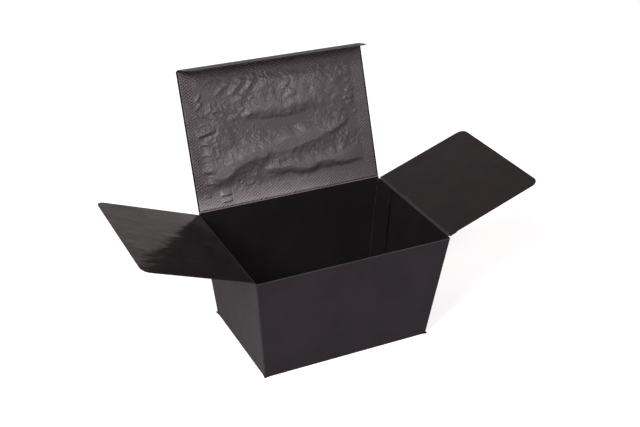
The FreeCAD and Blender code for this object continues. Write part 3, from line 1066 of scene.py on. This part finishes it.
@dataclass
class CushionPad:
    """The cushion pad in the lid: crimped borders round a crinkled soft middle.

    The fold is the lid's crease, up runs on the lid away from it, and out points out of the lid's inner face.
    """

    fold: Vector
    up: Vector
    out: Vector
    cloth: PaperCloth = PaperCloth()
    facets: Facets = Facets()
    border_chance: Chance = Chance(0.06, 0.06, 12.0)
    crumple_chance: Chance = Chance(0.21, 0.28, 3.0)
    stray_chances: tuple[Chance, Chance] = (Chance(7.1, 7.3, 1.0), Chance(7.7, 6.9, 9.0))
    drift_chance: Chance = Chance(0.16, 0.16, 21.0)
    break_chance: Chance = Chance(0.11, 0.11, 33.0)
    left_room: FlapRoom = FlapRoom(49.0, 1.20, 0.063)
    right_room: FlapRoom = FlapRoom(58.0, 0.41, 0.0525)
    seed: int = 7
    half_width: float = 61.4
    low: float = 0.6
    high: float = 85.9
    base: float = 0.45
    border: float = 7.4
    border_wander: float = 0.9
    border_run: float = 4.5
    border_thickness: float = 0.26
    crimp_depth: float = 1.0
    crimp_run: float = 1.8
    glued_depth: float = -0.2
    stray_depth: float = -2.0
    rim_thickness: float = 0.12
    crown: float = 0.5
    crown_run: float = 15.0
    hem_bead: float = 0.32
    hem_place: float = 1.0
    hem_run: float = 0.8
    most: float = 3.3
    most_ease: float = 0.2
    rim_ease: float = 0.08
    rim_run: float = 0.8
    foot_rise: float = 3.0
    pressed: float = 0.62
    pitch: float = 0.9
    stray: float = 0.36
    loose: float = 0.32
    crumple_detail: tuple[float, float, int] = (0.8, 2.1, 4)
    swelling: float = 1.9
    laid_crests: float = 0.5
    run_out: float = 0.45
    widest_upper: float = 4.0
    crumple: float = 0.54
    sharp: float = 0.68
    drift: float = 1.5
    whole: float = 0.85
    broken: float = 0.9
    crest_share: Point = (0.4, 1.2)
    smooth_from: float = 0.4
    smoother: float = 0.65
    held_down: float = 0.6
    pucker: float = 1.4
    pucker_spread: float = 1.4
    full_rise: float = 2.4

    @property
    def size(self) -> Point:
        """Its flat width and height."""
        return 2 * self.half_width, self.high - self.low

    def surface(self) -> tuple[Shape, Array]:
        """Makes the flat top face as a fine grid.

        Returns:
            The grid, and its corners as two columns: across and up on the lid's plane, in millimetres.
        """
        width, height = self.size
        shape = bmesh.new()
        bmesh.ops.create_grid(shape, x_segments=round(width / self.pitch), y_segments=round(height / self.pitch),
                              size=0.5)
        bmesh.ops.scale(shape, vec=(width, height, 1.0), verts=shape.verts)
        bmesh.ops.translate(shape, vec=(0.0, (self.low + self.high) / 2, 0.0), verts=shape.verts)
        return shape, np.array([v.co[:2] for v in shape.verts])

    def laid(self, at: Array) -> tuple[Array, Array]:
        """Works out the pad as it is laid, before its paper gives.

        Args:
            at: Points on the lid's plane.

        Returns:
            The height, and how far each point is inside the crimped border.
        """
        x, y = at.T
        inset = np.minimum(np.minimum(self.half_width - np.abs(x), y - self.low), self.high - y)
        depth = inset - self.border - self.border_wander * self.border_chance.at(at)
        middle, dome = (share * share * (3 - 2 * share)
                        for share in (np.clip(depth / run, 0, 1) for run in (self.border_run, self.crown_run)))
        crumple = np.array([noise.fractal(self.crumple_chance.spot(a, b), *self.crumple_detail) for a, b in at])
        soft = self.crown * dome + self.loose * crumple + self.swelling * sum(swell.at(at) for swell in SWELLS)
        crests = [crinkle.at(at) for crinkle in MAIN_CREASES]
        soft += self.laid_crests * sum(crests)
        leaving = sum(crest for crest, crinkle in zip(crests, MAIN_CREASES) if crinkle.path[-1][0] > self.half_width)
        height = self.border_thickness + middle * soft
        height += (1 - middle) * leaving * self.run_out
        return height + self.hem_bead * np.exp(-(((y - self.low - self.hem_place) / self.hem_run) ** 2)), depth

    def settled(self, shape: Shape, at: Array) -> tuple[Array, Array]:
        """Strays the grid's points a little, lays the paper and lets it buckle.

        Args:
            shape: The flat grid.
            at: Its points on the lid's plane.

        Returns:
            Where each point ends up, in millimetres, and the crimped mask.
        """
        height, depth = self.laid(at)
        scale = self.cloth.enlarged * MM
        for vert, tall, inside in zip(shape.verts, height, depth):
            stray = self.stray * self.pitch if inside > self.stray_depth else 0.0
            x, y = (flat + stray * noise.noise(way.spot(*vert.co[:2]))
                    for flat, way in zip(vert.co, self.stray_chances))
            vert.co = Vector((x, y, tall)) * scale
        mesh = bpy.data.meshes.new("laid_paper")
        shape.to_mesh(mesh)
        glued = np.flatnonzero(depth <= self.glued_depth).tolist()
        places = self.cloth.settle(placed("laid_paper", mesh), glued) / scale
        bpy.data.meshes.remove(mesh)  # and with it the object that shows it
        start, most = np.column_stack((at, height)), self.cloth.most_move
        crimped = np.clip((self.crimp_depth - depth) / self.crimp_run, 0, 1)
        return start + np.clip(places - start, -most, most), crimped

    def kept(self, places: Array) -> Array:
        """Keeps the paper above the card, thin at the rim and below the room that the closed lid has.

        Args:
            places: Points on the lid's plane with their heights.

        Returns:
            The heights.
        """
        x, y, tall = places.T
        inset = np.minimum(np.minimum(self.half_width - np.abs(x), (y - self.low) * self.foot_rise), self.high - y)
        room = np.minimum(self.right_room.at(x), self.left_room.at(-x))
        limit = np.minimum(room / self.pressed, self.most)
        tall = limit - self.most_ease * np.log1p(np.exp((limit - tall) / self.most_ease))
        above = self.rim_ease * np.log1p(np.exp((tall - self.rim_thickness) / self.rim_ease))
        return self.rim_thickness + above * np.clip(inset / self.rim_run, 0, 1)

    def sharpened(self, places: Array, crimped: Array) -> Array:
        """Adds the sharp crests, the puckers at the border and the small facets.

        Args:
            places: Points of the finer sheet, on the lid's plane and with their heights.
            crimped: The crimped mask at each point.

        Returns:
            The new heights.
        """
        at = places[:, :2]
        drift = np.array([noise.noise_vector(self.drift_chance.spot(x, y))[:2] for x, y in at])
        crests = sum(replace(crinkle, upper=min(self.widest_upper, crinkle.upper)).at(at + self.drift * drift)
                     for crinkle in MAIN_CREASES)
        crests = crests * np.clip(self.whole + self.broken * self.break_chance.at(at), *self.crest_share)
        puckers = sum(replace(crinkle, upper=self.pucker_spread * crinkle.upper).at(at)
                      for crinkle in BORDER_PUCKERS)
        facets = np.array([self.facets.at(x, y) for x, y in at])
        facets = facets * (1 - self.smoother * np.clip(crests - self.smooth_from, 0, 1))
        tall = places[:, 2] + self.sharp * crests * (1 - self.held_down * crimped) + self.pucker * puckers
        return self.kept(np.column_stack((at, tall + self.crumple * (1 - crimped) * facets)))

    def smoothed(self, shape: Shape) -> Shape:
        """Divides the sheet once more with a smooth subdivision, and sharpens it.

        Args:
            shape: The sheet, which is used up.

        Returns:
            The finer sheet.
        """
        mesh = as_mesh("settled_paper", shape)
        sheet = placed("settled_paper", mesh)
        finer = sheet.modifiers.new("finer", "SUBSURF")
        finer.levels = finer.render_levels = 1
        made = bmesh.new()
        made.from_object(sheet, bpy.context.evaluated_depsgraph_get())
        bpy.data.meshes.remove(mesh)
        mask, rise = (made.verts.layers.float[name] for name in ("crimped", "rise"))
        places = np.array([vert.co[:] for vert in made.verts])
        heights = self.sharpened(places, np.array([vert[mask] for vert in made.verts]))
        for vert, tall in zip(made.verts, heights):
            vert.co.z = self.base + tall
            vert[rise] = min(1.0, max(0.0, (tall - self.border_thickness) / self.full_rise))
        return made

    def closed(self, shape: Shape) -> None:
        """Closes the sheet down to the card and moves it from the lid's plane to the lid.

        Args:
            shape: The finished sheet.
        """
        rim = [edge for edge in shape.edges if edge.is_boundary]
        for part in bmesh.ops.extrude_edge_only(shape, edges=rim)["geom"]:
            if isinstance(part, bmesh.types.BMVert):
                part.co.z = self.base
        bmesh.ops.holes_fill(shape, edges=[edge for edge in shape.edges if edge.is_boundary], sides=0)
        bmesh.ops.recalc_face_normals(shape, faces=shape.faces)
        to_lid = Matrix((ACROSS, self.up, self.out)).transposed().to_4x4()
        to_lid.translation = self.fold
        bmesh.ops.scale(shape, vec=(MM, MM, MM), verts=shape.verts)
        bmesh.ops.transform(shape, matrix=to_lid, verts=shape.verts)

    def build(self, finish: Material) -> Object:
        """Makes the pad as one closed piece on the lid.

        Args:
            finish: The paper's material.

        Returns:
            The pad.
        """
        noise.seed_set(self.seed)
        shape, at = self.surface()
        places, crimped = self.settled(shape, at)
        flat = shape.loops.layers.uv.new("flat")
        mask = shape.verts.layers.float.new("crimped")
        shape.verts.layers.float.new("rise")
        for vert, place, pressed in zip(shape.verts, places, crimped):
            vert.co, vert[mask] = place, pressed
        shape.verts.index_update()
        shares = (at - (0.0, self.low)) / self.size + (0.5, 0.0)
        for face in shape.faces:
            for loop in face.loops:
                loop[flat].uv = shares[loop.vert.index]
        shape = self.smoothed(shape)
        self.closed(shape)
        mesh = as_mesh("cushion_pad", shape)
        mesh.polygons.foreach_set("use_smooth", [len(p.vertices) == 4 for p in mesh.polygons])
        pad = placed("cushion_pad", mesh)
        mesh.materials.append(finish)
        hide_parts("lid_cushion_pad")
        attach(pad, Body.LID.value)
        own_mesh(pad)
        return pad


def mirrored(corner: Vector, x: int, y: int) -> Vector:
    """Turns a level's back right corner into the corner on the sides that x and y name."""
    return Vector((x * corner.x, y * corner.y, corner.z))


@dataclass
class Carton:
    """The folded carton: its packed panels with their finish, and the creases between them."""

    frame: dict
    board: float = 0.4
    flare: Point = (8.0, 6.5)
    crease_gap: float = 0.6
    shoulder_inset: float = 0.9
    end_inset: float = 0.1
    hollow_inset: float = 0.62
    tab_edge: tuple[Place, Place] = ((53.75, 17.7, 0.5), (60.6, 24.05, 59.05))
    crease_colour: Colour = (0.024, 0.020, 0.021)
    # Pale like the pad's paper hem, and paler still as a painted highlight along the hinge.
    hinge_strip_highlight_colour: Colour = (0.150, 0.128, 0.134)
    crease_roughness: float = 0.36

    def __post_init__(self) -> None:
        """Reads the fold lines from the record's joints, and the lid's plane from two of them."""
        self.at = {joint["name"]: Vector(joint["pos_m"]) for joint in self.frame["joints"]}
        self.lid_up = (self.at["tuck_crease"] - self.at["lid_crease"]).normalized()
        self.lid_out = ACROSS.cross(self.lid_up)
        self.rim = self.at["left_flap_crease"].z

    def wall_lines(self) -> tuple[Line, ...]:
        """Lists the carton's upright folds, outside and in the back corners, its base folds and its rims.

        Returns:
            The lines that get the painted highlight, partly wear.
        """
        low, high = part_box("carton_body")
        top = Vector((high.x, -low.y, self.rim))
        back = Vector((high.x, -low.y, high.z))
        foot = Vector((top.x - self.flare[0] * MM, top.y - self.flare[1] * MM, 0.0))
        lines = [Line(mirrored(foot, x, y), mirrored(top, x, y), 0.7, 0.5) for x in SIDES for y in SIDES]
        for side, level, strength in ((-1, top, 0.8), (1, back, 0.8), (-1, foot, 0.5), (1, foot, 0.5)):
            lines.append(Line(mirrored(level, -1, side), mirrored(level, 1, side), 0.5, strength))
        for side in SIDES:
            hollow = Vector((-side, -1.0, 0.0)) * self.hollow_inset * MM
            lines += [Line(mirrored(level, side, -1), mirrored(level, side, 1), 0.5, strength)
                      for level, strength in ((top, 0.6), (foot, 0.5))]
            lines.append(Line(mirrored(foot, side, 1) + hollow, mirrored(top, side, 1) + hollow, 0.42, 0.5))
        return tuple(lines)

    def seam_lines(self) -> tuple[Line, ...]:
        """Lists the glue tab's free edge on the right wall, where a painted shadow lies in the gap."""
        return (Line(*(Vector(end) * MM for end in self.tab_edge), 0.75, 1.0),)

    def wall_faces(self) -> tuple[Face, ...]:
        """Lists the outer faces of the four walls and the base.

        Returns:
            The faces.
        """
        low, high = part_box("carton_body")
        lean_x, lean_y = (math.atan2(flare * MM, self.rim) for flare in self.flare)
        faces = [Face(Vector(ZERO), Vector((0.0, 0.0, 1.0)))]
        for side in SIDES:
            faces += [Face(Vector((side * high.x, 0.0, self.rim)),
                           Vector((-side * math.cos(lean_x), 0.0, math.sin(lean_x)))),
                      Face(Vector((0.0, side * -low.y, self.rim)),
                           Vector((0.0, -side * math.cos(lean_y), math.sin(lean_y))))]
        return tuple(faces)

    def dress(self) -> None:
        """Gives each packed panel its own board finish."""
        left, right, lid, tuck = self.folds()
        marks = {
            "carton_body": (self.wall_lines(), self.wall_faces(), self.seam_lines()),
            left.node: (left.lines((0.9, 0.4), (0.5, 0.5), (0.5, 0.35)), left.faces),
            right.node: (right.lines((2.4, 0.4), (0.5, 0.5), (0.5, 0.35)), right.faces),
            lid.node: (lid.lines((1.0, 0.7), (1.0, 0.7), (0.5, 0.4)), lid.faces),
            tuck.node: (tuck.lines((0.9, 0.6), (0.6, 0.5)), tuck.faces),
        }
        for node, seen in marks.items():
            panel = self.frame["nodes"][node]
            panel.data.materials.clear()
            panel.data.materials.append(BOARDS[node].material(*seen))
            LOG.info("%s has its board finish", node)

    def folds(self) -> tuple[Fold, ...]:
        """Lists the four working creases.

        Returns:
            The creases, with their panels' directions at rest.
        """
        found = []
        down, back = Vector((0.0, 0.0, -1.0)), Vector((0.0, 1.0, 0.0))
        for side, body in zip(SIDES, (Body.LEFT_FLAP, Body.RIGHT_FLAP)):
            node = body.value.replace("_", "_side_")
            low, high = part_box(node)
            line = self.at[body.value + "_crease"]
            middle = Vector((line.x, 0.0, line.z))
            tip = Vector((low.x if side < 0 else high.x, 0.0, high.z))
            away, rise = abs(tip.x - line.x), tip.z - line.z
            lean = math.atan2(rise, away) - math.asin(self.board * MM / math.hypot(rise, away))
            along = Vector((side * math.cos(lean), 0.0, math.sin(lean)))
            inner = Vector((-side * math.sin(lean), 0.0, math.cos(lean)))
            found.append(Fold(node, (Body.CARTON, body), middle, tip, back, (Vector((-side, 0.0, 0.0)), inner),
                              (down, along), (0.0, self.crease_gap),
                              min(-low.y, high.y) / MM - self.shoulder_inset, self.board))
        lid, tuck = (Vector((0.0, *self.at[name][1:])) for name in ("lid_crease", "tuck_crease"))
        found.append(Fold("lid_panel", (Body.CARTON, Body.LID), lid, tuck, ACROSS, (-back, self.lid_out),
                          (down, self.lid_up), (0.0, self.crease_gap),
                          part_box("lid_panel")[1].x / MM - self.end_inset, self.board))
        low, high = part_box("tuck_flap")
        lean = math.atan2(high.z - tuck.z, tuck.y - low.y)
        along = Vector((0.0, -math.cos(lean), math.sin(lean)))
        inner = Vector((0.0, -math.sin(lean), -math.cos(lean)))
        found.append(Fold("tuck_flap", (Body.LID, Body.TUCK), tuck, Vector((0.0, low.y, high.z)), ACROSS,
                          (self.lid_out, inner), (-self.lid_up, along), (self.crease_gap, self.crease_gap),
                          high.x / MM - self.end_inset, self.board))
        return tuple(found)

    def build(self) -> None:
        """Dresses the panels, makes the creases and fits the pad."""
        self.dress()
        for fold in self.folds():
            # The lid's crease strip gets a painted highlight along the hinge, partly the pad's paper hem; the other
            # creases get the crease colour.
            lit_hinge = fold.bodies == (Body.CARTON, Body.LID)
            finish = CardFinish("board_" + fold.name, inner_colour=self.hinge_strip_highlight_colour if lit_hinge else self.crease_colour,
                                inner_roughness=self.crease_roughness)
            made = fold.build(finish.material())
            LOG.info("%s has %d faces", made.name, len(made.data.polygons))
        pad = CushionPad(self.at["lid_crease"], self.lid_up, self.lid_out)
        made = pad.build(PadFinish(pad.size).material())
        LOG.info("%s has %d faces", made.name, len(made.data.polygons))


def main() -> None:
    """Loads the frame, sets the stage, and builds and dresses the carton."""
    logging.basicConfig(level=logging.INFO, format="%(name)s: %(message)s")
    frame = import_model()
    StudioCamera().build()
    Studio().build()
    Carton(frame).build()


if __name__ == "__main__":
    main()
